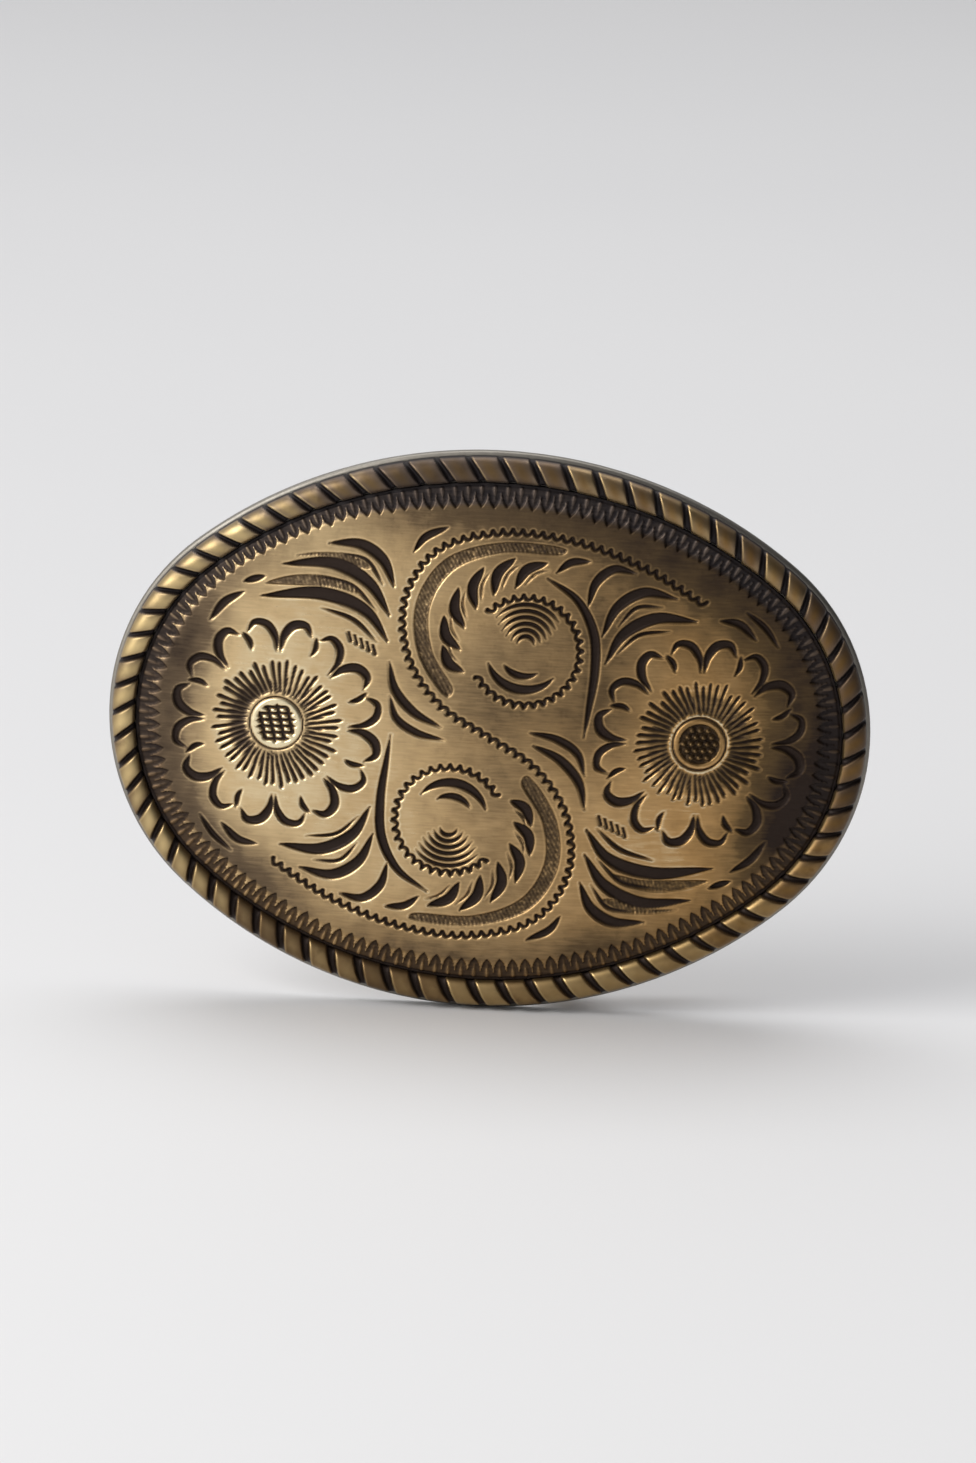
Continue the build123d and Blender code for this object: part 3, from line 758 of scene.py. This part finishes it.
def solid(name, bright, warm, dark, level, rough, pit=0.0, scale=160, rim=None):
    """The same finish for a plain CAD piece, with no engraving to follow. Faces that don't look back can take a rim's."""
    m = Nodes(name)
    cloud = m.noise(scale, 5, 0.62)
    p = m.remap(cloud, 0.30, 0.72, level[0], level[1])
    fine = m.noise(1100, 3, 0.6)
    p = m.math("ADD", p, m.remap(fine, 0.5, 0.8, 0.0, 0.15), clamp=True)
    col = m.mix(m.remap(p, 0.0, 0.5), bright, warm)
    col = m.mix(m.remap(p, 0.4, 1.0), col, dark)
    if rim is not None:
        facing = m.node("ShaderNodeSeparateXYZ")
        m.nt.links.new(m.node("ShaderNodeNewGeometry").outputs["Normal"], facing.inputs[0])
        worn = m.mix(m.remap(p, 0.1, 0.9), rim, m.mix(0.5, rim, dark))
        col = m.mix(m.remap(facing.outputs["Y"], 0.35, 0.75), worn, col)
    m.put(col, m.bsdf.inputs["Base Color"])
    m.put(m.remap(p, 0.3, 1.0, 1.0, 0.75), m.bsdf.inputs["Metallic"])
    m.put(m.remap(p, 0.0, 1.0, rough[0], rough[1]), m.bsdf.inputs["Roughness"])
    h = m.math("ADD", m.math("MULTIPLY", fine, 0.4), m.math("MULTIPLY", m.noise(420, 3, 0.6), pit))
    m.put(m.bump(h, 0.35, 0.00012), m.bsdf.inputs["Normal"])
    return m


back_metal = solid("cast_back", rgb(160, 142, 112), rgb(126, 108, 84), rgb(74, 62, 52), (0.18, 0.66), (0.38, 0.58), 1.0, 75, rim=rgb(150, 146, 138))
hardware = solid("hardware_brass", rgb(176, 144, 92), rgb(132, 104, 66), rgb(58, 46, 36), (0.1, 0.6), (0.32, 0.5), 0.3, 220)
wire = solid("bail_wire", rgb(184, 156, 108), rgb(140, 114, 78), rgb(62, 50, 40), (0.05, 0.5), (0.26, 0.42), 0.2, 260)


def give(obj, nodes):
    obj.data.materials.clear()
    obj.data.materials.append(nodes.mat)


give(plate, engraved)
give(rope, rope_metal)
nodes = frame["nodes"]
for name, m in (("base_plate", back_metal), ("upper_bail_lug", hardware), ("lower_bail_lug", hardware), ("hook_pad", hardware), ("belt_hook", hardware), ("belt_bail", wire)):
    o = nodes[name]
    if not o.material_slots:
        o.data.materials.append(m.mat)
    for sl in o.material_slots:
        sl.material = m.mat

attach(plate, "plate")
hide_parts("engraved_plate")
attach(rope, "plate")
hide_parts("rope_edge")

# ------------------------------------------------------------------------------------------------
# Floor, light and camera
# ------------------------------------------------------------------------------------------------
floor_z = cad_box[0][2]
fm = Nodes("studio_floor")
m_floor = fm.noise(3, 2, 0.5)
fm.put(fm.mix(m_floor, rgb(222, 222, 224), rgb(228, 228, 229)), fm.bsdf.inputs["Base Color"])
fm.bsdf.inputs["Roughness"].default_value = 0.62
fm.bsdf.inputs["Specular IOR Level"].default_value = 0.25
bpy.ops.mesh.primitive_plane_add(size=8.0, location=(0, 0, floor_z - 0.00005))
floor = bpy.context.object
floor.name = "studio_floor"
floor.data.materials.append(fm.mat)

world = bpy.data.worlds.new("studio")
scene.world = world
world.use_nodes = True
wt = world.node_tree
wt.nodes.clear()
out = wt.nodes.new("ShaderNodeOutputWorld")
bg = wt.nodes.new("ShaderNodeBackground")
tc = wt.nodes.new("ShaderNodeTexCoord")
sep = wt.nodes.new("ShaderNodeSeparateXYZ")
wt.links.new(tc.outputs["Generated"], sep.inputs[0])
ramp = wt.nodes.new("ShaderNodeValToRGB")
rmp = wt.nodes.new("ShaderNodeMapRange")
rmp.inputs[1].default_value, rmp.inputs[2].default_value = -1.0, 1.0
wt.links.new(sep.outputs["X"], rmp.inputs[0])
wt.links.new(rmp.outputs[0], ramp.inputs[0])
ramp.color_ramp.elements[0].position = 0.0
ramp.color_ramp.elements[0].color = (1.10, 1.09, 1.07, 1)
ramp.color_ramp.elements[1].position = 1.0
ramp.color_ramp.elements[1].color = (0.06, 0.062, 0.07, 1)
e = ramp.color_ramp.elements.new(0.40)
e.color = (0.80, 0.80, 0.80, 1)
e = ramp.color_ramp.elements.new(0.56)
e.color = (0.34, 0.34, 0.35, 1)
e = ramp.color_ramp.elements.new(0.70)
e.color = (0.12, 0.12, 0.13, 1)
wt.links.new(ramp.outputs[0], bg.inputs["Color"])
bg.inputs["Strength"].default_value = 0.75
wt.links.new(bg.outputs[0], out.inputs["Surface"])


def area(name, location, target, size, power, colour=(1, 1, 1)):
    light = bpy.data.lights.new(name, "AREA")
    light.shape = "RECTANGLE"
    light.size, light.size_y = size
    light.energy = power
    light.color = colour
    ob = bpy.data.objects.new(name, light)
    scene.collection.objects.link(ob)
    ob.location = location
    ob.rotation_euler = (Vector(target) - Vector(location)).to_track_quat("-Z", "Y").to_euler()
    return ob


area("key_left", (-0.75, -0.55, 0.55), (0, 0, 0), (0.7, 0.8), 8.0, (1.0, 0.985, 0.96))
area("top_soft", (-0.1, 0.6, 1.5), (0, 0, 0), (1.6, 1.2), 14)

centre = Vector((0.0, 0.0, 0.0))
ELEV, AZIM, ROLL, DIST = 12.0, 1.5, -2.55, 0.86
ae, aa = math.radians(ELEV), math.radians(AZIM)
back = Vector((math.sin(aa) * math.cos(ae), -math.cos(aa) * math.cos(ae), math.sin(ae)))
cam_data = bpy.data.cameras.new("camera")
cam = bpy.data.objects.new("camera", cam_data)
scene.collection.objects.link(cam)
cam.location = centre + back * DIST
quat = (-back).to_track_quat("-Z", "Y")
cam.rotation_mode = "QUATERNION"
cam.rotation_quaternion = quat @ Quaternion((0, 0, 1), math.radians(-ROLL))
cam_data.sensor_width = 36
cam_data.lens = 182
cam_data.clip_start, cam_data.clip_end = 0.01, 50
scene.camera = cam
scene.view_settings.view_transform = "Standard"
